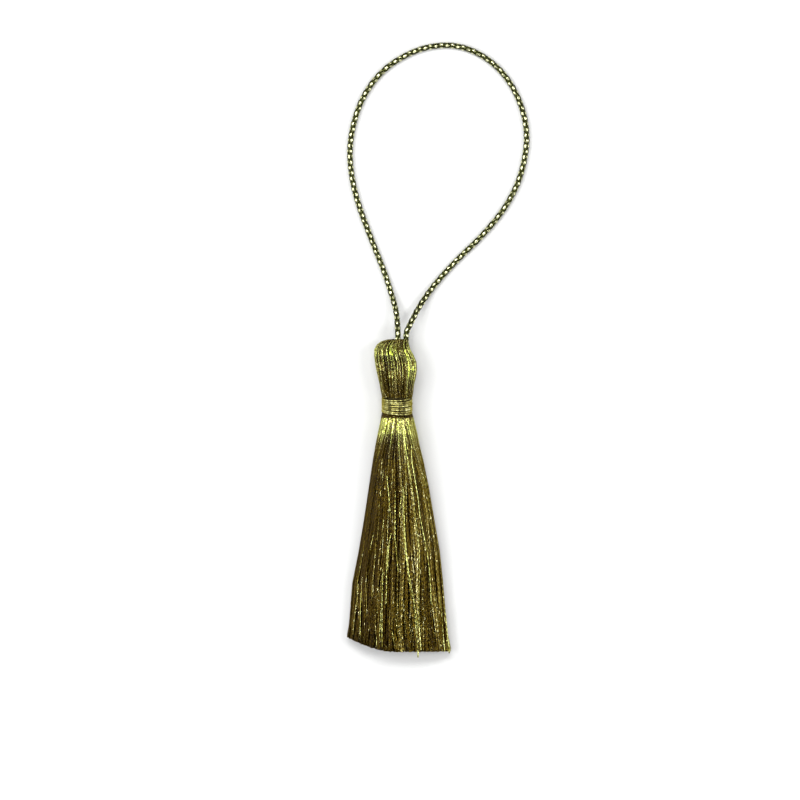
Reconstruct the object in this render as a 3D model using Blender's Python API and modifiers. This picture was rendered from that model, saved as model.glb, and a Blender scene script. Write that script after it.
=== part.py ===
"""A thread tassel with a hanging loop, lying on its back on a flat surface.

Metres, +Z up. The tassel's length lies along Y, head towards +Y, with the loop beyond it.
The origin is under the middle of the tassel's body, loop not counted, on the surface.
"""
import math
import random

import bmesh
import bpy
from mathutils import Vector

MM = 0.001
TAU = 2.0 * math.pi

# Skein: head, neck and the collar below the neck, in mm along Y, seen from above.
# Each row is a section: y, left edge x, right edge x, half thickness.
HEAD_SECTIONS = (
    (18.50, -4.65, 3.30, 3.90),
    (19.35, -3.95, 2.70, 3.32),
    (19.80, -3.775, 2.525, 3.15),
    (22.50, -3.775, 2.525, 3.15),
    (25.50, -3.775, 2.525, 3.15),
    (26.20, -4.35, 3.15, 3.75),
    (27.50, -4.70, 3.40, 4.15),
    (29.25, -5.25, 3.75, 4.70),
    (31.25, -5.65, 4.05, 5.00),
    (33.25, -5.95, 4.00, 5.00),
    (35.00, -6.05, 3.45, 4.85),
    (36.50, -6.00, 2.95, 4.45),
    (37.60, -5.60, 2.65, 3.80),
    (38.40, -4.70, 2.55, 2.90),
    (38.90, -3.40, 2.45, 1.70),
)
HEAD_AXIS_Z = 4.70
LAST_NECK_ROW = 4
HEAD_RIDGE = 0.13
COLLAR_RIDGE = 0.15

# Skirt below the collar: y, left edge x, right edge x, height of the top above the surface.
SKIRT_SECTIONS = (
    (16.00, -5.35, 4.20, 9.00),
    (0.00, -7.85, 7.65, 8.70),
    (-20.00, -11.35, 10.65, 8.10),
    (-38.60, -12.55, 12.45, 7.30),
)
LOCK_COLUMNS = 24
LOCK_ROWS = 8
ROOT_ROUNDING = 0.42
ROOTS_INSIDE = 0.89
COLUMN_LEAN = 0.07
ROW_LEAN = 0.03
EDGE_DROP = 0.62
EDGE_ROUNDING = 2.4

# Gaps between locks, as shares of half the skein's width and height, and how slim a lock may be.
GAP_ACROSS = 0.028
GAP_UP = 0.060
LOCK_SLIMMEST = 0.85

# How the locks bunch across the skirt: waves from side to side, their size as a share of half the
# width, and their shift from layer to layer. The waves drift a little from section to section.
LOCK_WAVES = (
    (3.0, 0.022, 1.1),
    (5.0, 0.010, -1.9),
)
WAVE_DRIFT = 0.5
SWELL_WAVES = 4.0
SWELL = 0.035

# Ends of the skirt: the left corner is cut shorter, and every lock ends a little differently.
LEFT_CORNER_SHORTER = 3.4
LEFT_CORNER_FROM_X = -2.0
LEFT_CORNER_CURVE = 1.6
LOCK_END_SPREAD = 0.45

# Binding wound round the neck.
BINDING_CENTRE = (-0.625, 22.50, 4.70)
BINDING_LENGTH = 5.50
BINDING_INNER_R = 3.45
BINDING_OUTER_R = 3.86
BINDING_TURNS = 10
BINDING_TURN_RISE = 0.13
BINDING_SEGMENTS = 36

# Braided cord of the loop.
CORD_DIAMETER = 1.55
CORD_RELIEF = 0.10
CORD_LAY = 11.0
CORD_STEPS_PER_LAY = 8
CORD_ON_SURFACE_Z = CORD_DIAMETER / 2 + 0.02

# The loop's route from the head round to the head again: x, y and z in mm.
CORD_ROUTE = (
    (-0.40, 39.20, 4.70),
    (-0.44, 41.50, 4.45),
    (-0.85, 46.00, 2.75),
    (-2.20, 51.00, 1.15),
    (-3.85, 56.00, CORD_ON_SURFACE_Z),
    (-5.85, 61.10, CORD_ON_SURFACE_Z),
    (-7.90, 66.35, CORD_ON_SURFACE_Z),
    (-9.80, 71.50, CORD_ON_SURFACE_Z),
    (-11.20, 76.25, CORD_ON_SURFACE_Z),
    (-12.05, 80.75, CORD_ON_SURFACE_Z),
    (-12.40, 85.50, CORD_ON_SURFACE_Z),
    (-12.05, 90.00, CORD_ON_SURFACE_Z),
    (-10.95, 94.85, CORD_ON_SURFACE_Z),
    (-9.15, 99.40, CORD_ON_SURFACE_Z),
    (-6.55, 103.50, CORD_ON_SURFACE_Z),
    (-3.15, 107.05, CORD_ON_SURFACE_Z),
    (1.00, 109.80, CORD_ON_SURFACE_Z),
    (5.60, 111.75, CORD_ON_SURFACE_Z),
    (10.25, 112.60, CORD_ON_SURFACE_Z),
    (14.75, 112.35, CORD_ON_SURFACE_Z),
    (19.25, 110.80, CORD_ON_SURFACE_Z),
    (23.40, 108.05, CORD_ON_SURFACE_Z),
    (26.85, 104.35, CORD_ON_SURFACE_Z),
    (29.50, 99.75, CORD_ON_SURFACE_Z),
    (31.20, 94.75, CORD_ON_SURFACE_Z),
    (31.80, 89.50, CORD_ON_SURFACE_Z),
    (31.25, 84.10, CORD_ON_SURFACE_Z),
    (29.70, 78.50, CORD_ON_SURFACE_Z),
    (27.15, 73.35, CORD_ON_SURFACE_Z),
    (23.90, 68.75, CORD_ON_SURFACE_Z),
    (19.75, 64.10, CORD_ON_SURFACE_Z),
    (15.50, 60.00, CORD_ON_SURFACE_Z),
    (11.75, 56.10, CORD_ON_SURFACE_Z),
    (8.10, 51.80, 1.15),
    (5.20, 47.60, 2.45),
    (3.05, 43.60, 3.95),
    (1.80, 40.90, 4.65),
    (1.65, 39.20, 4.70),
)


def clear_scene():
    for item in list(bpy.data.objects):
        bpy.data.objects.remove(item)


def make_material(name, colour, roughness, metallic):
    material = bpy.data.materials.new(name)
    material.use_nodes = True
    shader = material.node_tree.nodes["Principled BSDF"]
    shader.inputs["Base Color"].default_value = (*colour, 1.0)
    shader.inputs["Roughness"].default_value = roughness
    shader.inputs["Metallic"].default_value = metallic
    return material


def add_object(name, mesh, collection, material):
    item = bpy.data.objects.new(name, mesh)
    mesh.materials.clear()
    mesh.materials.append(material)
    collection.objects.link(item)
    return item


def root_share(x, y):
    """A point of the square from -1 to 1, moved to the rounded square in which the locks are rooted."""
    return Vector((x * math.sqrt(1.0 - ROOT_ROUNDING * y * y), y * math.sqrt(1.0 - ROOT_ROUNDING * x * x)))


def even_rim_point(x, y):
    """A point of the square's rim, moved to the circle so that all rim points are evenly spaced."""
    step = TAU / (2 * (LOCK_COLUMNS + LOCK_ROWS))
    if abs(y) > 0.999:
        angle = math.copysign(TAU / 4 - x * LOCK_COLUMNS / 2 * step, y)
    else:
        angle = y * LOCK_ROWS / 2 * step
        if x < 0:
            angle = TAU / 2 - angle
    return Vector((math.cos(angle), math.sin(angle)))


def rim_index(x, y):
    """Counts the rim's points, so that each second one can be raised as a ridge."""
    return round(x * LOCK_COLUMNS / 2) + round(y * LOCK_ROWS / 2)


def head_point(x, y, row):
    """Places a rim point of the parameter block on one section of the head, neck or collar."""
    along, left, right, half = HEAD_SECTIONS[row]
    evened = min(1.0, row / LAST_NECK_ROW)
    rim = root_share(x, y).normalized().lerp(even_rim_point(x, y), evened).normalized()
    raised = rim_index(x, y) % 2 == 0
    if row > LAST_NECK_ROW:
        ridge = HEAD_RIDGE if raised else -HEAD_RIDGE
    elif row == 0 and raised:
        ridge = COLLAR_RIDGE
    else:
        ridge = 0.0
    across = (left + right) / 2 + ((right - left) / 2 + ridge) * rim.x
    up = HEAD_AXIS_Z + (half + ridge) * rim.y
    return Vector((across, along, max(0.0, up)))


def leaned(x, y):
    """Leans the columns and rows of locks, so that no gap runs straight through the skein."""
    across = x + COLUMN_LEAN * math.sin(math.pi * y) * (1 - x ** 4)
    up = y + ROW_LEAN * math.sin(TAU * x) * (1 - y * y)
    return across, up


def root_point(x, y):
    """Places a corner inside the collar's lower end, where the locks begin."""
    along, left, right, half = HEAD_SECTIONS[0]
    place = root_share(*leaned(x, y)) * ROOTS_INSIDE
    return Vector(((left + right) / 2 + (right - left) / 2 * place.x, along, HEAD_AXIS_Z + half * place.y))


def skirt_point(x, y, row, shorter):
    """Places a lock's corner on one section of the skirt, a loaf that is round above and flat below."""
    along, left, right, height = SKIRT_SECTIONS[row]
    lies_on_surface = y < -1.0 + 1.0 / LOCK_ROWS
    x, y = leaned(x, y)
    spread = (row + 1) / len(SKIRT_SECTIONS)
    bunch = sum(
        size * math.sin(math.pi * count * x + shift * y + row * WAVE_DRIFT) * (1 - x * x)
        for count, size, shift in LOCK_WAVES
    )
    across = (left + right) / 2 + (right - left) / 2 * (x + bunch * spread)
    swell = 1.0 + SWELL * math.sin(math.pi * SWELL_WAVES * x + row)
    top = height * swell * (1.0 - EDGE_DROP * abs(x) ** EDGE_ROUNDING)
    up = 0.0 if lies_on_surface else top * (y + 1.0) / 2
    if row == len(SKIRT_SECTIONS) - 1:
        past = min(0.0, across - LEFT_CORNER_FROM_X) / (left - LEFT_CORNER_FROM_X)
        along += LEFT_CORNER_SHORTER * past ** LEFT_CORNER_CURVE + shorter
    return Vector((across, along, up))


def make_skein(collection):
    """Builds head and skirt as a block of unit steps, then moves every point to its real section."""
    build = bmesh.new()
    bmesh.ops.create_grid(build, x_segments=LOCK_COLUMNS, y_segments=LOCK_ROWS, size=1.0)
    cells = list(build.faces)
    rim = [edge for edge in build.edges if edge.is_boundary]

    # The collar, neck and head rise from the rim, one step for each section, up to the crown.
    for row in range(len(HEAD_SECTIONS)):
        grown = bmesh.ops.extrude_edge_only(build, edges=rim)["geom"]
        ring = [part for part in grown if isinstance(part, bmesh.types.BMVert)]
        bmesh.ops.translate(build, verts=ring, vec=(0.0, 0.0, 1.0))
        rim = [part for part in grown if isinstance(part, bmesh.types.BMEdge) and part.is_boundary]
    bmesh.ops.contextual_create(build, geom=rim)

    # The locks hang from the cells, each a little slimmer than its cell, one step for a section.
    bmesh.ops.inset_individual(build, faces=cells, thickness=GAP_ACROSS / 2, use_even_offset=True)
    chance = random.Random(11)
    cell_height = 2.0 / LOCK_ROWS
    lower = (cell_height - GAP_UP) / (cell_height - GAP_ACROSS)
    for cell in cells:
        middle = cell.calc_center_median()
        slim_across = chance.uniform(LOCK_SLIMMEST, 1.0)
        slim_up = chance.uniform(LOCK_SLIMMEST, 1.0) * lower
        for corner in cell.verts:
            corner.co.x = middle.x + (corner.co.x - middle.x) * slim_across
            corner.co.y = middle.y + (corner.co.y - middle.y) * slim_up
    tips = cells
    shorter = {}
    for row in range(len(SKIRT_SECTIONS)):
        grown = bmesh.ops.extrude_discrete_faces(build, faces=tips)["faces"]
        for tip in grown:
            bmesh.ops.translate(build, verts=tip.verts, vec=(0.0, 0.0, -1.0))
        tips = grown
    for tip in tips:
        end = chance.uniform(-LOCK_END_SPREAD, LOCK_END_SPREAD)
        for corner in tip.verts:
            shorter[corner] = end

    for corner in build.verts:
        x, y, level = corner.co
        step = round(level)
        if step < 0:
            place = skirt_point(x, y, -step - 1, shorter.get(corner, 0.0))
        elif step > 0:
            place = head_point(x, y, step - 1)
        else:
            place = root_point(x, y)
        corner.co = place * MM

    bmesh.ops.recalc_face_normals(build, faces=build.faces)
    mesh = bpy.data.meshes.new("skein")
    build.to_mesh(mesh)
    build.free()
    material = make_material("metallic yarn", (0.42, 0.36, 0.07), 0.35, 0.8)
    return add_object("skein", mesh, collection, material)


def make_neck_binding(collection):
    """A turned ring whose outer side rises and falls once for each turn of the thread."""
    half = BINDING_LENGTH / 2
    pitch = BINDING_LENGTH / BINDING_TURNS
    profile = []
    for turn in range(BINDING_TURNS):
        top = half - turn * pitch
        profile.append((BINDING_OUTER_R - BINDING_TURN_RISE, top))
        profile.append((BINDING_OUTER_R, top - pitch / 2))
    profile.append((BINDING_OUTER_R - BINDING_TURN_RISE, -half))
    profile.append((BINDING_INNER_R, -half))
    profile.append((BINDING_INNER_R, half))

    build = bmesh.new()
    corners = [build.verts.new((radius * MM, 0.0, height * MM)) for radius, height in profile]
    for start, end in zip(corners, corners[1:] + corners[:1]):
        build.edges.new((start, end))
    mesh = bpy.data.meshes.new("neck_binding")
    build.to_mesh(mesh)
    build.free()

    material = make_material("wound thread", (0.36, 0.31, 0.08), 0.4, 0.7)
    item = add_object("neck_binding", mesh, collection, material)
    turned = item.modifiers.new("turned round the neck", "SCREW")
    turned.axis = "Z"
    turned.angle = TAU
    turned.steps = BINDING_SEGMENTS
    turned.render_steps = BINDING_SEGMENTS
    turned.use_merge_vertices = True
    turned.merge_threshold = 0.00001
    item.rotation_euler = (-math.pi / 2, 0.0, 0.0)
    item.location = Vector(BINDING_CENTRE) * MM
    return item


def smooth_route(points, spacing):
    """Points about one spacing apart on the smooth curve through the route's own points."""
    knots = [Vector(point) for point in points]
    ends = [knots[0] * 2 - knots[1]] + knots + [knots[-1] * 2 - knots[-2]]
    fine = []
    pieces = 16
    for before, start, end, after in zip(ends, ends[1:], ends[2:], ends[3:]):
        for piece in range(pieces):
            t = piece / pieces
            fine.append(
                0.5 * (
                    2 * start
                    + (end - before) * t
                    + (2 * before - 5 * start + 4 * end - after) * t * t
                    + (3 * start - before - 3 * end + after) * t * t * t
                )
            )
    fine.append(knots[-1])
    lengths = [0.0]
    for start, end in zip(fine, fine[1:]):
        lengths.append(lengths[-1] + (end - start).length)
    steps = round(lengths[-1] / spacing)
    route = []
    at = 0
    for step in range(steps + 1):
        want = lengths[-1] * step / steps
        while at < len(fine) - 2 and lengths[at + 1] < want:
            at += 1
        share = (want - lengths[at]) / (lengths[at + 1] - lengths[at])
        route.append(fine[at].lerp(fine[at + 1], share))
    return route


def make_hanging_loop(collection):
    """A braided cord: a tube on the route, whose points rise and fall where the strands cross."""
    route = smooth_route(CORD_ROUTE, CORD_LAY / CORD_STEPS_PER_LAY)
    curve = bpy.data.curves.new("cord line", "CURVE")
    curve.dimensions = "3D"
    curve.bevel_depth = (CORD_DIAMETER / 2 - CORD_RELIEF) * MM
    curve.bevel_resolution = 2
    curve.render_resolution_u = 0
    curve.use_fill_caps = True
    spline = curve.splines.new("POLY")
    spline.points.add(len(route) - 1)
    for point, place in zip(spline.points, route):
        point.co = (*(place * MM), 1.0)
    line = bpy.data.objects.new("cord line", curve)
    collection.objects.link(line)
    bpy.context.view_layer.update()
    depsgraph = bpy.context.evaluated_depsgraph_get()
    mesh = bpy.data.meshes.new_from_object(line.evaluated_get(depsgraph))
    bpy.data.objects.remove(line)

    # The mesh holds the two end caps' points first, and then the tube's, ring by ring.
    sides = 8
    first = 2 * sides
    build = bmesh.new()
    build.from_mesh(mesh)
    build.verts.ensure_lookup_table()
    for ring in range(1, len(route) - 1):
        middle = route[ring] * MM
        for side in range(sides):
            if (ring + side) % 2 == 0:
                corner = build.verts[first + ring * sides + side]
                corner.co += (corner.co - middle).normalized() * CORD_RELIEF * MM
    bmesh.ops.remove_doubles(build, verts=build.verts, dist=0.000001)
    bmesh.ops.recalc_face_normals(build, faces=build.faces)
    build.to_mesh(mesh)
    build.free()
    mesh.name = "hanging_loop"
    material = make_material("braided cord", (0.45, 0.42, 0.12), 0.35, 0.8)
    return add_object("hanging_loop", mesh, collection, material)


def main():
    clear_scene()
    collection = bpy.data.collections.new("tassel")
    bpy.context.scene.collection.children.link(collection)
    make_skein(collection)
    make_neck_binding(collection)
    make_hanging_loop(collection)


main()
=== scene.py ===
"""Looks of a thread tassel with a hanging loop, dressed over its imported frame.

Lengths are in millimetres and become metres through MM. Y runs from the cut ends to the loop, Z up.
"""

import math

import bmesh
import bpy
import numpy as np
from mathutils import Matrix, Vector


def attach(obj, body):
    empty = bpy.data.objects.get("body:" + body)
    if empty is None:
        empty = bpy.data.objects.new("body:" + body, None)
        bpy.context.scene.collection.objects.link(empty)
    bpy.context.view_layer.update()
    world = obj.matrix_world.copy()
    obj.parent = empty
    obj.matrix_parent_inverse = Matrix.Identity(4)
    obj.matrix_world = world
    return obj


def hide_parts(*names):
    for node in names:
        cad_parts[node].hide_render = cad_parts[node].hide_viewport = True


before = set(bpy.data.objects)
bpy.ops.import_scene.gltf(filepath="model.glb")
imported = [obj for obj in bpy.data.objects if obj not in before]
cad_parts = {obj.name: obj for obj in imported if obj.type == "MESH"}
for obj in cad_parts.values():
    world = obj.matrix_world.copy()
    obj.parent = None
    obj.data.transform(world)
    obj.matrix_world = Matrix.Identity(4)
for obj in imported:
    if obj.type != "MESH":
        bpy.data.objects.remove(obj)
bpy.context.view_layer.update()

MM = 0.001
TAU = 2.0 * math.pi
UP = np.array((0.0, 0.0, 1.0))

# The photograph: its size, the pixel that lies over the frame's origin, and how large a pixel is.
PHOTO_SIDE = 800
ORIGIN_PIXEL = (399.0, 495.0)
PIXEL = 0.25
CAMERA_LENS = 320.0
CAMERA_SENSOR = 36.0
SCALE_PLANE_Z = 2.5

# Soft studio panels round about, none straight above.
# Name, place in metres, width and height in metres, power in watts.
PANELS = (
    ("upper panel", (-0.10, 0.48, 1.00), (0.62, 0.26), 5.9),
    ("upper left panel", (-0.64, 0.35, 0.87), (0.36, 0.26), 2.3),
    ("left panel", (-0.60, -0.05, 0.92), (0.35, 0.50), 3.5),
    ("right panel", (0.62, 0.10, 0.90), (0.25, 0.35), 3.0),
    ("lower panel", (0.05, -0.62, 1.00), (0.50, 0.35), 3.0),
    ("low left panel", (-0.85, 0.06, 0.20), (0.50, 0.18), 1.3),
    ("low right panel", (0.85, 0.06, 0.20), (0.50, 0.18), 1.5),
)
PANEL_COLOUR = (0.99, 1.0, 0.98)
LIT_PLACE = (0.0, 0.03, 0.0)
ROOM_LIGHT = 0.33
ROOM_COLOUR = (0.98, 0.96, 1.0, 1.0)
FLOOR_COLOUR = (0.72, 0.72, 0.723, 1.0)
FLOOR_HALF_SIDE = 3.0

# Each thread's UV map starts this much further along, in mm, so that no two threads look alike.
THREAD_OFFSET = 23.0
BRIGHTEST_TONE = 1.2

# Yarn: a bright tape wound on a core, under a thin clear film.
EDGE_TINT = (0.72, 0.61, 0.16, 1.0)
FILM_WEIGHT = 0.10
FILM_ROUGHNESS = 0.12
ROWS_PER_TONE = 97.0
# How much a facet, a long stretch and the thread's own tone change its shade; the facet's share is painted
# light and shade, lighter where the facet stands up.
FACET_LIGHT_AND_SHADE = 0.05
STRETCH_SHADE = 0.55
TONE_SHADE = 0.50
# Kinks get painted glints, a paler colour at these spots, and bright threads have more of them.
KINK_GLINT_ABOVE = 0.71
KINKS_MORE_BY_TONE = 0.16
PAINTED_SPARKLE_BRIGHTEST = 0.83
# How far facets and kinks stand up, as parts of the yarn's relief.
FACET_HEIGHT = 0.11
KINK_HEIGHT = 6.0
KINK_STARTS_AT = 0.52
# The brightest threads are greener than the others.
BRIGHT_TINT = ((0.80, (1.0, 1.0, 1.0)), (1.0, (0.92, 1.02, 0.62)))

# Braided cord of the loop.
CORD_DIAMETER = 1.55
CORD_LAY = 11.0
CORD_RINGS_PER_LAY = 48
CORD_ON_SURFACE_Z = CORD_DIAMETER / 2 + 0.02
STRANDS_PER_WAY = 4
STRAND_WIDTH = 0.86
STRAND_THICKNESS = 0.34
STRAND_SIDES = 8
BRAID_MEAN_RADIUS = 0.44
BRAID_WEAVE = 0.15
BRAID_ROLL = 0.5
BRAID_ROLL_LENGTH = 150.0
CORD_CORE_WIDTH = 0.5
CORD_TUCKED_IN = 1.5

# The loop's route, from the head round to the head again.
CORD_ROUTE = (
    (-0.40, 39.20, 4.70),
    (-0.44, 41.50, 4.45),
    (-0.85, 46.00, 2.75),
    (-2.20, 51.00, 1.15),
    (-3.85, 56.00, CORD_ON_SURFACE_Z),
    (-5.85, 61.10, CORD_ON_SURFACE_Z),
    (-7.90, 66.35, CORD_ON_SURFACE_Z),
    (-9.80, 71.50, CORD_ON_SURFACE_Z),
    (-11.20, 76.25, CORD_ON_SURFACE_Z),
    (-12.05, 80.75, CORD_ON_SURFACE_Z),
    (-12.40, 85.50, CORD_ON_SURFACE_Z),
    (-12.05, 90.00, CORD_ON_SURFACE_Z),
    (-10.95, 94.85, CORD_ON_SURFACE_Z),
    (-9.15, 99.40, CORD_ON_SURFACE_Z),
    (-6.55, 103.50, CORD_ON_SURFACE_Z),
    (-3.15, 107.05, CORD_ON_SURFACE_Z),
    (1.00, 109.80, CORD_ON_SURFACE_Z),
    (5.60, 111.75, CORD_ON_SURFACE_Z),
    (10.25, 112.60, CORD_ON_SURFACE_Z),
    (14.75, 112.35, CORD_ON_SURFACE_Z),
    (19.25, 110.80, CORD_ON_SURFACE_Z),
    (23.40, 108.05, CORD_ON_SURFACE_Z),
    (26.85, 104.35, CORD_ON_SURFACE_Z),
    (29.50, 99.75, CORD_ON_SURFACE_Z),
    (31.20, 94.75, CORD_ON_SURFACE_Z),
    (31.80, 89.50, CORD_ON_SURFACE_Z),
    (31.25, 84.10, CORD_ON_SURFACE_Z),
    (29.70, 78.50, CORD_ON_SURFACE_Z),
    (27.15, 73.35, CORD_ON_SURFACE_Z),
    (23.90, 68.75, CORD_ON_SURFACE_Z),
    (19.75, 64.10, CORD_ON_SURFACE_Z),
    (15.50, 60.00, CORD_ON_SURFACE_Z),
    (11.75, 56.10, CORD_ON_SURFACE_Z),
    (8.10, 51.80, 1.15),
    (5.20, 47.60, 2.45),
    (3.05, 43.60, 3.95),
    (1.80, 40.90, 4.65),
    (1.65, 39.20, 4.70),
)

# Sections of the head, from inside the binding up to the crown.
# Each has its y, the x of its left and right edges, and half its thickness.
HEAD_AXIS_Z = 4.70
HEAD_MIDDLE = (-0.95, 32.00, 4.70)
HEAD_ROWS = (
    (24.40, -4.30, 3.10, 3.45),
    (25.30, -4.50, 3.30, 3.75),
    (26.30, -4.70, 3.40, 4.00),
    (27.70, -4.90, 3.55, 4.35),
    (29.25, -5.25, 3.92, 4.70),
    (31.25, -5.68, 4.25, 5.00),
    (33.25, -6.02, 4.15, 4.96),
    (35.00, -6.22, 3.45, 4.66),
    (36.50, -6.18, 2.60, 4.26),
    (37.60, -5.60, 2.32, 3.72),
    (38.40, -4.65, 2.20, 2.90),
    (38.90, -3.20, 2.20, 1.85),
    (39.05, -1.75, 2.15, 1.15),
    (38.60, -1.00, 1.95, 0.65),
)
# Layers of the head's threads, from the deepest out.
# Each has its depth, its number of threads, and their lean round the head.
HEAD_LAYERS = (
    (0.62, 100, 0.10),
    (0.36, 130, -0.12),
    (0.15, 150, 0.05),
)
HEAD_THREAD = 0.34
HEAD_CORE_DEPTH = 0.75
HEAD_CORE_TOP = 38.0
HEAD_CORE_FOOT = 19.5
HEAD_TONE = 0.36
# Painted light and shade: threads of raised bundles are lighter by up to this, threads of sunken ones
# darker.
HEAD_BUNDLE_LIGHT_AND_SHADE = 0.20
HEAD_TONE_SPREAD = 0.22
# Painted light on the head's threads at each section: how much brighter each is, a painted highlight band
# high on the shoulders and a little darker at the crown.
HEAD_SECTION_PAINTED_LIGHT = (0.00, 0.00, 0.04, 0.12, 0.20, 0.22, 0.28, 0.42, 0.45, 0.34, 0.18, 0.05, -0.05, -0.10)
# Painted highlights on the head's upper side, as brighter threads: x, y, how wide, how long and how much
# brighter.
HEAD_PAINTED_HIGHLIGHTS = ((-2.9, 35.6, 1.8, 2.0, 0.22), (3.0, 31.3, 1.0, 3.0, 0.26), (-4.2, 32.0, 1.0, 1.8, 0.20))
HEAD_BUNDLES = 23.0
HEAD_BUNDLE_PULL = 0.085
HEAD_BUNDLE_RISE = 0.13

# Sections of the skirt, from inside the binding down to the ends.
# Each has its y, the x of its left and right edges, and the z of its underside and top.
SKIRT_ROWS = (
    (23.50, -3.60, 2.35, 1.85, 7.55),
    (20.60, -4.15, 2.95, 1.35, 7.50),
    (19.90, -4.30, 3.15, 1.15, 7.70),
    (19.20, -4.42, 3.35, 1.00, 8.00),
    (18.20, -4.62, 3.62, 0.75, 8.36),
    (15.50, -5.20, 4.30, 0.22, 8.98),
    (12.50, -5.80, 4.90, 0.22, 9.46),
    (9.00, -6.40, 5.75, 0.22, 9.60),
    (2.00, -7.45, 7.15, 0.22, 9.15),
    (-6.00, -8.65, 8.50, 0.22, 8.60),
    (-14.00, -10.00, 9.90, 0.22, 8.25),
    (-22.00, -11.60, 10.75, 0.22, 7.95),
    (-29.00, -12.15, 11.35, 0.22, 7.65),
    (-34.50, -12.40, 11.90, 0.22, 7.35),
    (-38.60, -12.55, 12.35, 0.22, 7.10),
)
# Round in section above the first, and like a loaf below the second.
SKIRT_ROUND_ABOVE = 18.4
SKIRT_LOAF_BELOW = 4.0
EDGE_DROP = 0.62
EDGE_ROUNDING = 2.4
LEFT_CORNER_SHORTER = 3.4
LEFT_CORNER_FROM_X = -2.0
LEFT_CORNER_CURVE = 1.6

SKIRT_THREAD = 0.50
SKIRT_COLUMNS = 54
SKIRT_LAYERS = 12
TOP_THREADS = 880
TOP_THREAD = 0.36
TOP_ON_SIDES = 0.22
THREAD_SIDES = 4
SKIRT_BUNDLES = 17.0
BUNDLE_PULL = 0.72
BUNDLE_RISE = 0.42
BUNDLE_WANDER = 0.42
SIDE_GROOVES = 9.0
SIDE_GROOVE_DEPTH = 0.45
THREAD_WANDER = 0.09
GROUPS = 1200
MIDDLE_GROUP = 500
# Tones of the skirt: its own and its spread; painted light and shade that follow its bundles' rise and
# darken the gaps between its locks; painted light at its roots; painted shade down its left side and
# painted glints along its right edge.
SKIRT_TONE = 0.17
SKIRT_BUNDLE_LIGHT_AND_SHADE = 0.16
SKIRT_TONE_SPREAD = 0.24
ROOT_PAINTED_LIGHT = 0.80
LEFT_PAINTED_SHADE = 0.76
RIGHT_EDGE_PAINTED_GLINTS = 0.28
LOCKS = 5.5
LOCK_LIGHT_AND_SHADE = 0.15
THREAD_LEAN = 0.38
END_SPREAD = 0.40
END_FLARE = 0.20
NEAR_END_SHORTER = 0.8

# Threads that lie across the others on top of the skirt: x and y of the places that they pass.
STRAYS = (
    (
        (0.85, 2.2), (0.98, -2.0), (1.02, -6.5), (1.20, -11.0),
        (1.65, -15.5), (2.30, -20.5), (3.10, -25.5),
    ),
    (
        (1.10, 1.0), (1.20, -3.5), (1.30, -9.0), (1.70, -14.0),
        (2.40, -19.5), (3.50, -26.0), (4.60, -33.0),
    ),
    (
        (-2.95, -18.5), (-2.80, -14.5), (-2.45, -10.8), (-1.75, -8.7),
        (-1.10, -10.6), (-0.75, -14.5), (-0.35, -19.0),
    ),
    (
        (0.05, -5.5), (0.15, -2.6), (0.45, -0.2), (0.80, 0.6),
        (0.95, -1.0), (0.95, -4.5), (1.20, -9.0),
    ),
    (
        (3.90, -30.0), (4.05, -32.5), (4.20, -34.5), (4.40, -36.5),
        (4.55, -38.2), (4.65, -39.4), (4.60, -40.3),
    ),
    (
        (11.30, -28.0), (11.60, -31.0), (11.85, -33.5), (12.05, -35.5),
        (12.20, -37.2), (12.35, -38.5), (12.45, -39.4),
    ),
    (
        (-3.05, 5.0), (-3.00, 3.5), (-2.85, 2.0), (-2.70, 0.5),
        (-2.55, -1.5), (-2.40, -3.5), (-2.25, -5.5),
    ),
    (
        (-2.90, -12.5), (-3.10, -15.0), (-3.20, -17.5), (-3.25, -20.0),
        (-3.25, -22.5), (-3.30, -25.0), (-3.40, -27.0),
    ),
    (
        (-4.10, -19.0), (-4.25, -22.0), (-4.33, -25.0), (-4.35, -28.0),
        (-4.35, -31.0), (-4.35, -34.0), (-4.35, -37.5),
    ),
    (
        (2.90, 13.0), (3.10, 8.0), (4.40, 1.0), (5.20, -6.0),
        (6.90, -14.0), (7.60, -21.0), (7.90, -27.0),
    ),
)
STRAY_THREAD = 0.32
STRAY_LIFT = 0.22
LAID_STRAY_LIFT = 0.62
STRAY_LOWEST = -37.8
RANDOM_STRAYS = 110
STRAY_ROWS = 10
LAID_STRAY_TONE = 0.96
STRAY_DULLEST = 0.35
STRAY_BRIGHTEST = 1.0

# Thread wound round the neck.
BINDING_CENTRE = (-0.625, 22.55, 4.70)
BINDING_LENGTH = 4.35
BINDING_RADIUS = 3.62
BINDING_THREAD = 0.54
BINDING_TURNS = 8
BINDING_TONE = 0.70
BINDING_RINGS_PER_TURN = 40
BINDING_UNEVEN = 0.06
BINDING_TILT = 0.20
BINDING_SKEW = 0.30


def linked(name, mesh, material, node):
    """Puts a finished mesh into the scene as a piece that stands for one node of the frame."""
    piece = bpy.data.objects.new(name, mesh)
    bpy.context.scene.collection.objects.link(piece)
    mesh.materials.append(material)
    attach(piece, "root")
    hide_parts(node)
    return piece


def rings_round(paths, outward, width, thickness, sides):
    """The corners of every thread's rings. Paths is [thread, step, 3], outward points off the surface."""
    along = np.gradient(paths, axis=1)
    along /= np.linalg.norm(along, axis=2, keepdims=True)
    across = np.cross(along, outward)
    across /= np.linalg.norm(across, axis=2, keepdims=True)
    off = np.cross(across, along)
    turn = TAU * np.arange(sides)[:, None] / sides
    flat = across[:, :, None] * np.cos(turn) * np.reshape(width, (-1, 1, 1, 1)) / 2
    raised = off[:, :, None] * np.sin(turn) * np.reshape(thickness, (-1, 1, 1, 1)) / 2
    return paths[:, :, None] + flat + raised


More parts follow.
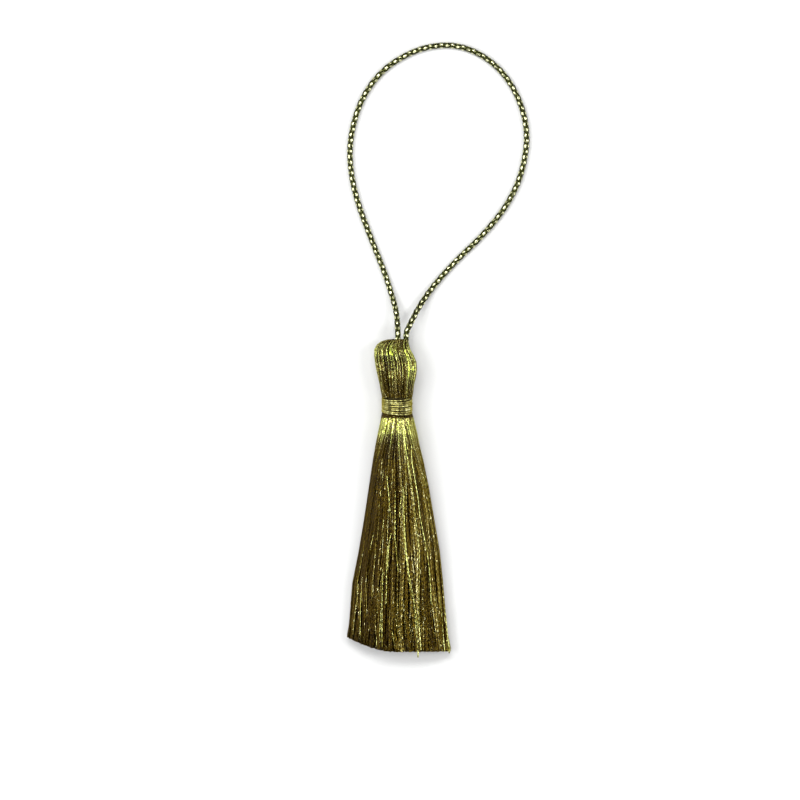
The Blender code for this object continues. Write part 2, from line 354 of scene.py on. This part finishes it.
def roll_threads(name, paths, outward, width, thickness, sides, tone):
    """Cuts one sheet of cells into bands, one a thread, and rolls every band into a closed thread."""
    count, steps = paths.shape[:2]
    rows = count * (sides + 1)
    build = bmesh.new()
    bmesh.ops.create_grid(build, x_segments=steps - 1, y_segments=rows - 1, size=1.0)
    mesh = bpy.data.meshes.new(name)
    build.to_mesh(mesh)
    sheet = np.empty(len(mesh.vertices) * 3)
    mesh.vertices.foreach_get("co", sheet)
    sheet = (sheet.reshape(-1, 3) + 1.0) / 2.0
    step = np.rint(sheet[:, 0] * (steps - 1)).astype(int)
    thread, corner = np.divmod(np.rint(sheet[:, 1] * (rows - 1)).astype(int), sides + 1)
    places = rings_round(paths, outward, width, thickness, sides)[thread, step, corner % sides]
    mesh.vertices.foreach_set("co", (places * MM).ravel())

    tones = mesh.attributes.new("tone", "FLOAT", "POINT")
    tone = np.broadcast_to(np.reshape(tone, (count, -1)), (count, steps))
    tones.data.foreach_set("value", tone[thread, step].astype(np.float32))
    lengths = np.linalg.norm(np.diff(paths, axis=1), axis=2)
    run = np.concatenate([np.zeros((count, 1)), np.cumsum(lengths, axis=1)], axis=1)
    run += THREAD_OFFSET * np.arange(count)[:, None]
    owner = np.empty(len(mesh.loops), int)
    mesh.loops.foreach_get("vertex_index", owner)
    unwrapped = np.stack([run[thread, step], corner / sides], axis=1)[owner]
    mesh.uv_layers.new(name="thread").data.foreach_set("uv", unwrapped.ravel().astype(np.float32))

    build.clear()
    build.from_mesh(mesh)
    between = [face for face in build.faces if len({thread[vert.index] for vert in face.verts}) > 1]
    bmesh.ops.delete(build, geom=between, context="FACES")
    bmesh.ops.remove_doubles(build, verts=build.verts, dist=0.001 * MM)
    open_edges = [edge for edge in build.edges if edge.is_boundary]
    ends = bmesh.ops.holes_fill(build, edges=open_edges, sides=sides)
    bmesh.ops.recalc_face_normals(build, faces=build.faces)
    for face in build.faces:
        face.smooth = True
    for edge in {edge for end in ends["faces"] for edge in end.edges}:
        edge.smooth = False
    build.to_mesh(mesh)
    build.free()
    return mesh


def smooth_route(points, spacing):
    """Evenly spaced points on the smooth curve through the route's own points."""
    knots = np.array(points, float)
    ends = np.vstack([2 * knots[0] - knots[1], knots, 2 * knots[-1] - knots[-2]])
    share = np.linspace(0.0, 1.0, 16, endpoint=False)[:, None]
    fine = []
    for before, start, end, after in zip(ends, ends[1:], ends[2:], ends[3:]):
        fine.append(
            0.5 * (
                2 * start
                + (end - before) * share
                + (2 * before - 5 * start + 4 * end - after) * share ** 2
                + (3 * start - before - 3 * end + after) * share ** 3
            )
        )
    fine = np.vstack(fine + [knots[-1:]])
    run = np.concatenate([[0.0], np.cumsum(np.linalg.norm(np.diff(fine, axis=0), axis=1))])
    count = round(run[-1] / spacing) + 1
    wanted = np.linspace(0.0, run[-1], count)
    return np.stack([np.interp(wanted, run, fine[:, axis]) for axis in range(3)], axis=1), run[-1]


# Materials

class Nodes:
    """Short hand for adding and joining a material's nodes."""

    def __init__(self, name, metallic, roughness):
        self.material = bpy.data.materials.new(name)
        self.material.use_nodes = True
        self.tree = self.material.node_tree
        self.shader = self.tree.nodes["Principled BSDF"]
        self.shader.inputs["Metallic"].default_value = metallic
        self.shader.inputs["Roughness"].default_value = roughness

    def add(self, kind, **settings):
        node = self.tree.nodes.new(kind)
        for key, value in settings.items():
            setattr(node, key, value)
        return node

    def join(self, source, target):
        self.tree.links.new(source, target)

    def math(self, operation, first, second=0.0):
        node = self.add("ShaderNodeMath", operation=operation)
        for socket, value in zip(node.inputs, (first, second)):
            if isinstance(value, (int, float)):
                socket.default_value = value
            else:
                self.join(value, socket)
        return node.outputs[0]

    def ramp(self, factor, stops):
        node = self.add("ShaderNodeValToRGB")
        elements = node.color_ramp.elements
        while len(elements) < len(stops):
            elements.new(0.5)
        for element, (place, colour) in zip(elements, stops):
            element.position = place
            element.color = (*colour, 1.0)
        self.join(factor, node.inputs["Fac"])
        return node.outputs["Color"]

    def thread_run(self):
        """Along the thread in mm, round it in turns, and the thread's tone, which holds its own colour and
        the painted light and shade laid on it.
        """
        apart = self.add("ShaderNodeSeparateXYZ")
        self.join(self.add("ShaderNodeUVMap", uv_map="thread").outputs[0], apart.inputs[0])
        tone = self.add("ShaderNodeAttribute", attribute_name="tone")
        return apart.outputs["X"], apart.outputs["Y"], tone.outputs["Fac"]

    def noise(self, x, y):
        place = self.add("ShaderNodeCombineXYZ")
        for socket, value in zip(place.inputs, (x, y)):
            self.join(value, socket)
        node = self.add("ShaderNodeTexNoise", noise_dimensions="2D")
        node.inputs["Scale"].default_value = 1.0
        node.inputs["Detail"].default_value = 2.0
        self.join(place.outputs[0], node.inputs["Vector"])
        return node.outputs["Fac"]


def metallic_thread(name, roughness, twist, stretch, kink, relief, painted_sparkle, shades):
    """Metallic yarn: facets, stretches and kinks of those lengths in mm come and go along the thread."""
    made = Nodes(name, 1.0, roughness)
    made.shader.inputs["Specular Tint"].default_value = EDGE_TINT
    made.shader.inputs["Coat Weight"].default_value = FILM_WEIGHT
    made.shader.inputs["Coat Roughness"].default_value = FILM_ROUGHNESS
    run, turn, tone = made.thread_run()
    row = made.math("MULTIPLY", tone, ROWS_PER_TONE)

    # Facets of the tape wind round the thread once in each twist.
    winding = made.math("ADD", made.math("DIVIDE", run, twist), turn)
    winding = made.math("ADD", winding, row)
    facet = made.math("SINE", made.math("MULTIPLY", winding, TAU))

    # Long stretches of a thread are duller or cleaner, on top of its own tone.
    stretches = made.noise(made.math("DIVIDE", run, stretch), row)
    stretches = made.math("MULTIPLY", stretches, STRETCH_SHADE)
    # Painted light and shade on the facets: lighter where they stand up, darker in their grooves.
    lit = made.math("ADD", made.math("MULTIPLY", facet, FACET_LIGHT_AND_SHADE), stretches)
    lit = made.math("ADD", lit, made.math("MULTIPLY", tone, TONE_SHADE))

    # The tape kinks here and there, and such a place gets a painted glint: its colour is made paler there.
    kinks = made.noise(made.math("DIVIDE", run, kink), row)
    painted_glint = made.math("ADD", kinks, made.math("MULTIPLY", tone, KINKS_MORE_BY_TONE))
    painted_glint = made.math("MAXIMUM", made.math("SUBTRACT", painted_glint, KINK_GLINT_ABOVE), 0.0)
    spots = made.math("ADD", lit, made.math("MULTIPLY", painted_glint, painted_sparkle))
    lit = made.math("MAXIMUM", lit, made.math("MINIMUM", spots, PAINTED_SPARKLE_BRIGHTEST))
    tinted = made.add("ShaderNodeVectorMath", operation="MULTIPLY")
    made.join(made.ramp(lit, shades), tinted.inputs[0])
    made.join(made.ramp(tone, BRIGHT_TINT), tinted.inputs[1])
    made.join(tinted.outputs[0], made.shader.inputs["Base Color"])

    # Facets and kinks stand up from the thread.
    bump = made.add("ShaderNodeBump")
    bump.inputs["Strength"].default_value = 1.0
    bump.inputs["Distance"].default_value = relief * MM
    kinks = made.math("MULTIPLY", made.math("MAXIMUM", kinks, KINK_STARTS_AT), KINK_HEIGHT)
    height = made.math("ADD", made.math("MULTIPLY", facet, FACET_HEIGHT), kinks)
    made.join(height, bump.inputs["Height"])
    made.join(bump.outputs[0], made.shader.inputs["Normal"])
    return made.material


def yarn_finish():
    return metallic_thread(
        "olive gold yarn",
        roughness=0.21,
        twist=1.3,
        stretch=11.0,
        kink=1.5,
        relief=0.16,
        painted_sparkle=2.6,
        shades=(
            (0.30, (0.030, 0.018, 0.001)),
            (0.54, (0.093, 0.061, 0.004)),
            (0.72, (0.243, 0.202, 0.050)),
            (0.88, (0.820, 0.775, 0.430)),
            (0.97, (0.800, 0.850, 0.200)),
        ),
    )


def winding_finish():
    return metallic_thread(
        "wound neck thread",
        roughness=0.18,
        twist=1.1,
        stretch=5.0,
        kink=1.3,
        relief=0.03,
        painted_sparkle=0.0,
        shades=(
            (0.30, (0.060, 0.045, 0.008)),
            (0.50, (0.180, 0.155, 0.040)),
            (0.66, (0.360, 0.335, 0.115)),
            (0.84, (0.850, 0.840, 0.460)),
        ),
    )


def cord_finish():
    """Strands of the cord: painted pale highlights where they cross over, painted shade at their edges and
    where they dip.
    """
    made = Nodes("braided gold cord", 1.0, 0.24)
    run, turn, crown = made.thread_run()
    # Painted light on each strand's outer face, painted shade on its inner face.
    face = made.math("SINE", made.math("MULTIPLY", turn, TAU))
    lit = made.math("ADD", made.math("MULTIPLY", crown, 0.62), made.math("MULTIPLY", face, 0.26))
    grain = made.noise(made.math("MULTIPLY", run, 1.6), made.math("MULTIPLY", turn, 3.0))
    lit = made.math("ADD", lit, made.math("MULTIPLY", grain, 0.24))
    shades = (
        (0.60, (0.025, 0.029, 0.005)),
        (0.85, (0.055, 0.060, 0.016)),
        (0.98, (0.740, 0.740, 0.440)),
    )
    made.join(made.ramp(lit, shades), made.shader.inputs["Base Color"])
    bump = made.add("ShaderNodeBump")
    bump.inputs["Distance"].default_value = 0.06 * MM
    made.join(grain, bump.inputs["Height"])
    made.join(bump.outputs[0], made.shader.inputs["Normal"])
    return made.material


def core_finish():
    """Deep threads seen between the outer ones: painted dark as the shade between them, with streaks that
    run along.
    """
    made = Nodes("deep yarn", 0.6, 0.55)
    place = made.add("ShaderNodeTexCoord")
    stretch = made.add("ShaderNodeMapping")
    stretch.inputs["Scale"].default_value = (4000.0, 160.0, 4000.0)
    streaks = made.add("ShaderNodeTexNoise")
    streaks.inputs["Scale"].default_value = 1.0
    made.join(place.outputs["Object"], stretch.inputs["Vector"])
    made.join(stretch.outputs[0], streaks.inputs["Vector"])
    shades = ((0.35, (0.020, 0.014, 0.003)), (0.65, (0.110, 0.085, 0.016)))
    made.join(made.ramp(streaks.outputs["Fac"], shades), made.shader.inputs["Base Color"])
    bump = made.add("ShaderNodeBump")
    bump.inputs["Distance"].default_value = 0.1 * MM
    made.join(streaks.outputs["Fac"], bump.inputs["Height"])
    made.join(bump.outputs[0], made.shader.inputs["Normal"])
    return made.material


# Camera, lights and floor

def photo_place(column, row):
    """The place on the floor, in mm, that a pixel of the photograph looks down on."""
    return (column - ORIGIN_PIXEL[0]) * PIXEL, (ORIGIN_PIXEL[1] - row) * PIXEL


def make_camera():
    """Looks straight down on the middle of the photograph."""
    middle = (PHOTO_SIDE - 1) / 2
    x, y = photo_place(middle, middle)
    above = PHOTO_SIDE * PIXEL * CAMERA_LENS / CAMERA_SENSOR + SCALE_PLANE_Z
    data = bpy.data.cameras.new("camera")
    data.lens = CAMERA_LENS
    data.sensor_width = CAMERA_SENSOR
    data.clip_start = 0.01
    data.clip_end = 50.0
    camera = bpy.data.objects.new("camera", data)
    bpy.context.scene.collection.objects.link(camera)
    camera.location = (x * MM, y * MM, above * MM)
    bpy.context.scene.camera = camera


def area_light(name, place, size, power):
    """A soft flat light that faces the tassel's middle. Places and sizes are in metres."""
    data = bpy.data.lights.new(name, "AREA")
    data.shape = "RECTANGLE"
    data.size, data.size_y = size
    data.energy = power
    data.color = PANEL_COLOUR
    light = bpy.data.objects.new(name, data)
    bpy.context.scene.collection.objects.link(light)
    light.location = place
    light.rotation_euler = (Vector(LIT_PLACE) - light.location).to_track_quat("-Z", "Y").to_euler()


def make_studio():
    """A pale floor and a dim room with soft panels round about."""
    build = bmesh.new()
    bmesh.ops.create_grid(build, x_segments=1, y_segments=1, size=FLOOR_HALF_SIDE)
    mesh = bpy.data.meshes.new("floor")
    build.to_mesh(mesh)
    build.free()
    floor = bpy.data.objects.new("floor", mesh)
    bpy.context.scene.collection.objects.link(floor)
    paper = Nodes("pale paper", 0.0, 0.9)
    paper.shader.inputs["Base Color"].default_value = FLOOR_COLOUR
    mesh.materials.append(paper.material)

    world = bpy.data.worlds.new("room")
    bpy.context.scene.world = world
    world.use_nodes = True
    background = world.node_tree.nodes["Background"]
    background.inputs["Color"].default_value = ROOM_COLOUR
    background.inputs["Strength"].default_value = ROOM_LIGHT
    for panel in PANELS:
        area_light(*panel)
    bpy.context.scene.view_settings.view_transform = "Standard"


# Pieces

def make_braided_cord(finish):
    """Eight flat strands, four each way round, that pass over and under one another."""
    first, last = CORD_ROUTE[0], CORD_ROUTE[-1]
    tucked = [(first[0], first[1] - CORD_TUCKED_IN, first[2])]
    tucked_end = [(last[0], last[1] - CORD_TUCKED_IN, last[2])]
    spacing = CORD_LAY / CORD_RINGS_PER_LAY
    line, length = smooth_route(tucked + list(CORD_ROUTE) + tucked_end, spacing)
    along = np.gradient(line, axis=0)
    along /= np.linalg.norm(along, axis=1, keepdims=True)
    side = np.cross(along, UP)
    side /= np.linalg.norm(side, axis=1, keepdims=True)
    off = np.cross(side, along)

    run = np.arange(len(line)) * spacing
    roll = BRAID_ROLL * np.sin(TAU * run / BRAID_ROLL_LENGTH)
    paths, outward, tones = [], [], []
    for way in (1, -1):
        weave = way * np.cos(TAU * run / CORD_LAY * STRANDS_PER_WAY)
        radius = BRAID_MEAN_RADIUS + BRAID_WEAVE * weave
        for strand in range(STRANDS_PER_WAY):
            angle = way * TAU * run / CORD_LAY + TAU * strand / STRANDS_PER_WAY + roll
            radial = side * np.cos(angle)[:, None] + off * np.sin(angle)[:, None]
            paths.append(line + radial * radius[:, None])
            outward.append(radial)
            # Painted highlight where a strand crosses over, painted shade where it dips.
            tones.append(0.5 + 0.5 * weave)
    widths = [STRAND_WIDTH] * len(paths) + [CORD_CORE_WIDTH]
    thicknesses = [STRAND_THICKNESS] * len(paths) + [CORD_CORE_WIDTH]
    paths.append(line)
    outward.append(off)
    # The core gets the darkest tone, painted shade between the strands.
    tones.append(np.zeros(len(line)))
    mesh = roll_threads(
        "braided_cord", np.array(paths), np.array(outward), widths, thicknesses, STRAND_SIDES, tones
    )
    cord = linked("braided_cord", mesh, finish, "hanging_loop")


def head_place(angle, depth):
    """Points on the head's sections for threads at these angles, that far under the surface."""
    rows = np.array(HEAD_ROWS)
    middle = (rows[:, 1] + rows[:, 2]) / 2
    half_width = np.maximum((rows[:, 2] - rows[:, 1]) / 2 - depth, 0.4)
    half_height = np.maximum(rows[:, 3] - depth, 0.3)
    x = middle + half_width * np.cos(angle)
    z = HEAD_AXIS_Z + half_height * np.sin(angle)
    y = np.broadcast_to(rows[:, 0], x.shape) - depth * np.clip((rows[:, 0] - 35.0) / 3.0, 0.0, 1.0)
    return np.stack([x, y, np.maximum(z, HEAD_THREAD / 2)], axis=2)


def make_head_threads(finish):
    """Threads that run from the neck over the shoulders and in beside the cord."""
    chance = np.random.default_rng(7)
    share = np.linspace(0.0, 1.0, len(HEAD_ROWS))
    paths, tones = [], []
    for depth, count, lean in HEAD_LAYERS:
        start = TAU * (np.arange(count) + chance.uniform(-0.35, 0.35, count)) / count
        bundle = np.sin(HEAD_BUNDLES * start + depth * 9.0)
        pull = HEAD_BUNDLE_PULL * np.cos(HEAD_BUNDLES * start + depth * 9.0)
        wander = chance.normal(0.0, 0.035, (count, 2))
        angle = (start + pull)[:, None] + lean * share
        angle = angle + wander[:, :1] * np.sin(TAU * share) + wander[:, 1:] * np.cos(3.0 * share)
        deep = depth - HEAD_BUNDLE_RISE * (bundle[:, None] * np.sin(math.pi * share))
        deep = deep + chance.normal(0, 0.03, (count, 1))
        places = head_place(angle, deep)
        paths.append(places)
        # Own tone and a random spread, with painted light and shade that follow the bundles' rise.
        tone = HEAD_TONE + HEAD_BUNDLE_LIGHT_AND_SHADE * bundle + chance.normal(0.0, HEAD_TONE_SPREAD, count)
        # Painted highlight band on the shoulders, and a little shade at the crown, by section.
        tone = tone[:, None] + HEAD_SECTION_PAINTED_LIGHT
        # Painted highlights: patches of brighter threads, on the upper side only.
        for x, y, wide, long, brighter in HEAD_PAINTED_HIGHLIGHTS:
            away = ((places[:, :, 0] - x) / wide) ** 2 + ((places[:, :, 1] - y) / long) ** 2
            tone = tone + brighter * np.exp(-away) * (places[:, :, 2] > HEAD_AXIS_Z)
        tones.append(np.clip(tone, 0.0, BRIGHTEST_TONE))
    paths = np.concatenate(paths)
    outward = paths - np.array(HEAD_MIDDLE)
    mesh = roll_threads(
        "head_threads", paths, outward, HEAD_THREAD, HEAD_THREAD, THREAD_SIDES, np.concatenate(tones)
    )
    linked("head_threads", mesh, finish, "skein")


def make_head_core(finish):
    """The deep body of the head and neck that shows between the threads."""
    build = bmesh.new()
    bmesh.ops.create_circle(build, cap_ends=False, segments=32, radius=1.0)
    rim = list(build.edges)
    rows = [(HEAD_CORE_FOOT,) + HEAD_ROWS[0][1:]] + list(HEAD_ROWS[:-2])
    rings = [list(build.verts)]
    for _ in rows[1:]:
        grown = bmesh.ops.extrude_edge_only(build, edges=rim)["geom"]
        rings.append([part for part in grown if isinstance(part, bmesh.types.BMVert)])
        rim = [part for part in grown if isinstance(part, bmesh.types.BMEdge) and part.is_boundary]
    for ring, (y, left, right, half) in zip(rings, rows):
        for corner in ring:
            x = (left + right) / 2 + ((right - left) / 2 - HEAD_CORE_DEPTH) * corner.co.x
            z = HEAD_AXIS_Z + (half - HEAD_CORE_DEPTH) * corner.co.y
            corner.co = Vector((x, min(y, HEAD_CORE_TOP), z)) * MM
    bmesh.ops.holes_fill(build, edges=[edge for edge in build.edges if edge.is_boundary], sides=0)
    bmesh.ops.recalc_face_normals(build, faces=build.faces)
    mesh = bpy.data.meshes.new("head_core")
    build.to_mesh(mesh)
    build.free()
    mesh.shade_smooth()
    linked("head_core", mesh, finish, "skein")


def skirt_place(x, y):
    """Threads at x and y of the skein, from -1 to 1 each, as points on every section of the skirt."""
    rows = np.array(SKIRT_ROWS)
    along, left, right, under, top = rows.T
    loaf = np.clip((SKIRT_ROUND_ABOVE - along) / (SKIRT_ROUND_ABOVE - SKIRT_LOAF_BELOW), 0.0, 1.0)
    loaf = loaf * loaf * (3 - 2 * loaf)
    round_x = x * np.sqrt(1 - y * y / 2)
    round_y = y * np.sqrt(1 - x * x / 2)
    across = (left + right) / 2 + (right - left) / 2 * (loaf * x + (1 - loaf) * round_x)
    round_z = (under + top) / 2 + (top - under) / 2 * round_y
    loaf_z = under + (top * (1 - EDGE_DROP * np.abs(x) ** EDGE_ROUNDING) - under) * (y + 1) / 2
    height = loaf * loaf_z + (1 - loaf) * round_z
    return np.stack([across, np.broadcast_to(along, across.shape), height], axis=2)


def shorter_at(x):
    """How much shorter the skirt is cut towards its left corner."""
    left = SKIRT_ROWS[-1][1]
    past = np.clip((x - LEFT_CORNER_FROM_X) / (left - LEFT_CORNER_FROM_X), 0.0, 1.0)
    return LEFT_CORNER_SHORTER * past ** LEFT_CORNER_CURVE


def root_light_and_shade():
    """Painted light at the roots at each section: painted shade in the binding, a painted highlight of 1
    below it, and 0 some way down.
    """
    along = np.array(SKIRT_ROWS)[:, 0]
    return np.where(along > 19.5, -0.35, np.interp(along, (5.0, 12.0, 16.5), (0.0, 0.4, 1.0)))


def hanging_share():
    """How free the threads are at each section: 0 in the binding, 1 at the ends."""
    along = np.array(SKIRT_ROWS)[:, 0]
    return np.clip((19.0 - along) / 42.0, 0.0, 1.0) ** 0.6


def wandering(chance, count, size, waves):
    """Slow sideways waves along each thread, larger towards the ends."""
    along = np.array(SKIRT_ROWS)[:, 0]
    phase = chance.uniform(0, TAU, (count, 1))
    pace = chance.uniform(0.6, 1.4, (count, 1)) * waves
    return size * np.sin(phase + pace * along) * hanging_share() * chance.uniform(0.3, 1.0, (count, 1))


def skirt_paths(chance, x, y):
    """Lays threads at x and y of the skein, bunched, wandering and cut to uneven lengths."""
    count = len(x)
    free = hanging_share()
    layer = np.round((y + 1) / 2 * SKIRT_LAYERS)
    phase = math.pi * SKIRT_BUNDLES * x + layer * 2.4
    bunched = x + BUNDLE_PULL * np.cos(phase) / (math.pi * SKIRT_BUNDLES) * (1 - np.abs(x) ** 6)
    bunched = np.clip(bunched, -1.0, 1.0)
    paths = skirt_place(bunched[:, None], y[:, None])

    group = np.round(phase / TAU).astype(int) + MIDDLE_GROUP
    sway = np.random.default_rng(23)
    group_phase = sway.uniform(0, TAU, GROUPS)[group][:, None]
    group_pace = sway.uniform(0.09, 0.20, GROUPS)[group][:, None]
    along = np.array(SKIRT_ROWS)[:, 0]
    inner = (1 - np.abs(x[:, None]) ** 8)
    sideways = BUNDLE_WANDER * np.sin(group_phase + group_pace * along) * free * inner
    sideways = sideways + wandering(chance, count, THREAD_WANDER, 0.35) * inner
    sideways = sideways + chance.normal(0.0, THREAD_LEAN / 2, (count, 1)) * free * inner
    grooves = SIDE_GROOVE_DEPTH * (0.5 + 0.5 * np.sin(SIDE_GROOVES * y + x))[:, None] * free
    sideways = sideways - np.sign(x[:, None]) * np.abs(x[:, None]) ** 8 * grooves
    paths[:, :, 0] += sideways

    upper = np.clip(y, 0.0, 1.0)[:, None]
    rise = BUNDLE_RISE * np.sin(phase)[:, None] * free * upper
    rise = rise + wandering(chance, count, THREAD_WANDER, 0.3) * (y > -0.9)[:, None]
    paths[:, :, 2] = np.maximum(paths[:, :, 2] + rise, SKIRT_THREAD / 2)

    end = paths[:, -1]
    end[:, 1] += shorter_at(end[:, 0]) + chance.uniform(-END_SPREAD, END_SPREAD, count)
    end[:, 0] += chance.normal(0.0, END_FLARE, count)
    end[:, 2] = np.maximum(end[:, 2] + chance.normal(0.0, END_FLARE, count), SKIRT_THREAD / 2)
    near_end = paths[:, -2]
    near_end[:, 1] += shorter_at(near_end[:, 0]) * NEAR_END_SHORTER
    return paths, np.sin(phase)


def make_skirt_threads(finish):
    """Layers of threads through the skirt's whole thickness, and a closer layer over its top and sides."""
    chance = np.random.default_rng(11)
    columns = np.linspace(-1.0, 1.0, SKIRT_COLUMNS)
    layers = np.linspace(-1.0, 1.0, SKIRT_LAYERS)
    x, y = [part.ravel() for part in np.meshgrid(columns, layers)]
    x = np.clip(x + chance.uniform(-0.8, 0.8, len(x)) / SKIRT_COLUMNS, -1.0, 1.0)
    y = np.clip(y + chance.uniform(-0.5, 0.5, len(y)) / SKIRT_LAYERS, -1.0, 1.0)
    for name, thickness, (x, y) in (
        ("skirt_threads", SKIRT_THREAD, (x, y)),
        ("skirt_top_threads", TOP_THREAD, top_layer(chance)),
    ):
        paths, bundle = skirt_paths(chance, x, y)
        # Painted light and shade: raised bundles lighter, sunken ones darker, and bands across the locks
        # that are darkest in the gaps between them.
        tone = SKIRT_TONE + SKIRT_BUNDLE_LIGHT_AND_SHADE * bundle + LOCK_LIGHT_AND_SHADE * np.sin(LOCKS * math.pi * x + 0.8)
        # Painted highlight on the roots just below the binding, painted shade inside it.
        tone = (tone + chance.normal(0.0, SKIRT_TONE_SPREAD, len(x)))[:, None] + ROOT_PAINTED_LIGHT * root_light_and_shade()
        # Painted shade down the left side, a little painted light on the right, and painted glints along
        # the right edge; none of it at the roots.
        right_glint_mask = np.clip((x - 0.86) / 0.12, 0.0, 1.0)
        across = LEFT_PAINTED_SHADE * np.clip(x, -0.6, 0.15) + RIGHT_EDGE_PAINTED_GLINTS * right_glint_mask
        tone = tone + across[:, None] * (1.0 - np.abs(root_light_and_shade()))
        tone = np.clip(tone, 0.0, BRIGHTEST_TONE)
        outward = np.broadcast_to(UP, paths.shape)
        mesh = roll_threads(name, paths, outward, thickness, thickness, THREAD_SIDES, tone)
        linked(name, mesh, finish, "skein")


def top_layer(chance):
    """Places over the skein's top and down its two sides."""
    x = chance.uniform(-1.0, 1.0, TOP_THREADS)
    y = np.ones(TOP_THREADS)
    on_side = chance.uniform(0.0, 1.0, TOP_THREADS) < TOP_ON_SIDES
    x = np.where(on_side, np.sign(x), x)
    down_side = chance.uniform(-0.9, 1.0, TOP_THREADS)
    under_top = chance.uniform(0.0, 0.04, TOP_THREADS)
    y = np.where(on_side, down_side, y - under_top)
    return x, y


def skirt_top(x, y):
    """Height of the skirt's top over a place on the floor."""
    along, left, right, _, top = np.array(SKIRT_ROWS)[::-1].T
    left = np.interp(y, along, left)
    right = np.interp(y, along, right)
    top = np.interp(y, along, top)
    across = np.clip((x - (left + right) / 2) / ((right - left) / 2), -1.0, 1.0)
    return top * (1 - EDGE_DROP * np.abs(across) ** EDGE_ROUNDING)


def make_stray_threads(finish):
    """Threads that cross the others on top of the skirt, some listed and some by chance."""
    chance = np.random.default_rng(31)
    paths = []
    for places in STRAYS:
        flat = np.array([(x, y, 0.0) for x, y in places])
        line, _ = smooth_route(flat, 0.4)
        line = line[np.linspace(0, len(line) - 1, STRAY_ROWS).round().astype(int)]
        line[:, 2] = skirt_top(line[:, 0], line[:, 1]) + LAID_STRAY_LIFT
        paths.append(line)
    for _ in range(RANDOM_STRAYS):
        start = chance.uniform(-34.0, 14.0)
        length = chance.uniform(10.0, 36.0)
        column = chance.uniform(-0.93, 0.93)
        lowest = STRAY_LOWEST + shorter_at(column * SKIRT_ROWS[-1][2])
        y = np.linspace(start, max(start - length, lowest), STRAY_ROWS)
        drift = chance.normal(0.0, 0.10)
        share = np.linspace(0.0, 1.0, STRAY_ROWS)
        place = np.clip(column + drift * (share * share * (3 - 2 * share)), -0.97, 0.97)
        along, left, right = np.array(SKIRT_ROWS)[::-1, :3].T
        left = np.interp(y, along, left)
        right = np.interp(y, along, right)
        x = (left + right) / 2 + (right - left) / 2 * place
        lift = STRAY_LIFT * np.sin(math.pi * share) + chance.uniform(-0.1, 0.15)
        paths.append(np.stack([x, y, skirt_top(x, y) + lift], axis=1))
    paths = np.array(paths)
    laid = np.full(len(STRAYS), LAID_STRAY_TONE)
    tones = np.concatenate([laid, chance.uniform(STRAY_DULLEST, STRAY_BRIGHTEST, RANDOM_STRAYS)])
    outward = np.broadcast_to(UP, paths.shape)
    mesh = roll_threads("stray_threads", paths, outward, STRAY_THREAD, STRAY_THREAD, THREAD_SIDES, tones)
    linked("stray_threads", mesh, finish, "skein")


def make_neck_winding(finish):
    """One thread wound round the neck in close turns, each a little uneven."""
    steps = BINDING_TURNS * BINDING_RINGS_PER_TURN
    turn = np.linspace(0.0, BINDING_TURNS, steps)
    share = turn / BINDING_TURNS
    uneven = BINDING_UNEVEN * np.sin(TAU * turn * 1.37 + 0.6) + BINDING_UNEVEN * np.sin(TAU * turn * 0.41)
    radius = BINDING_RADIUS + uneven * 0.6
    tuck = np.clip(np.minimum(turn, BINDING_TURNS - turn) / 0.35, 0.0, 1.0)
    radius = radius - 0.5 * (1 - tuck)
    x = BINDING_CENTRE[0] + radius * np.cos(TAU * turn)
    z = BINDING_CENTRE[2] + radius * np.sin(TAU * turn)
    y = BINDING_CENTRE[1] + (BINDING_LENGTH - BINDING_THREAD) * (0.5 - share) + uneven * 0.7
    y = y - BINDING_TILT * (z - BINDING_CENTRE[2]) - BINDING_SKEW * np.cos(TAU * turn) * share
    paths = np.stack([x, y, z], axis=1)[None]
    middle = paths.copy()
    middle[:, :, 0] = BINDING_CENTRE[0]
    middle[:, :, 2] = BINDING_CENTRE[2]
    mesh = roll_threads(
        "neck_winding", paths, paths - middle, BINDING_THREAD, BINDING_THREAD, STRAND_SIDES, [BINDING_TONE]
    )
    linked("neck_winding", mesh, finish, "neck_binding")


make_camera()
make_braided_cord(cord_finish())
yarn = yarn_finish()
make_head_core(core_finish())
make_head_threads(yarn)
make_skirt_threads(yarn)
make_stray_threads(yarn)
make_neck_winding(winding_finish())
make_studio()
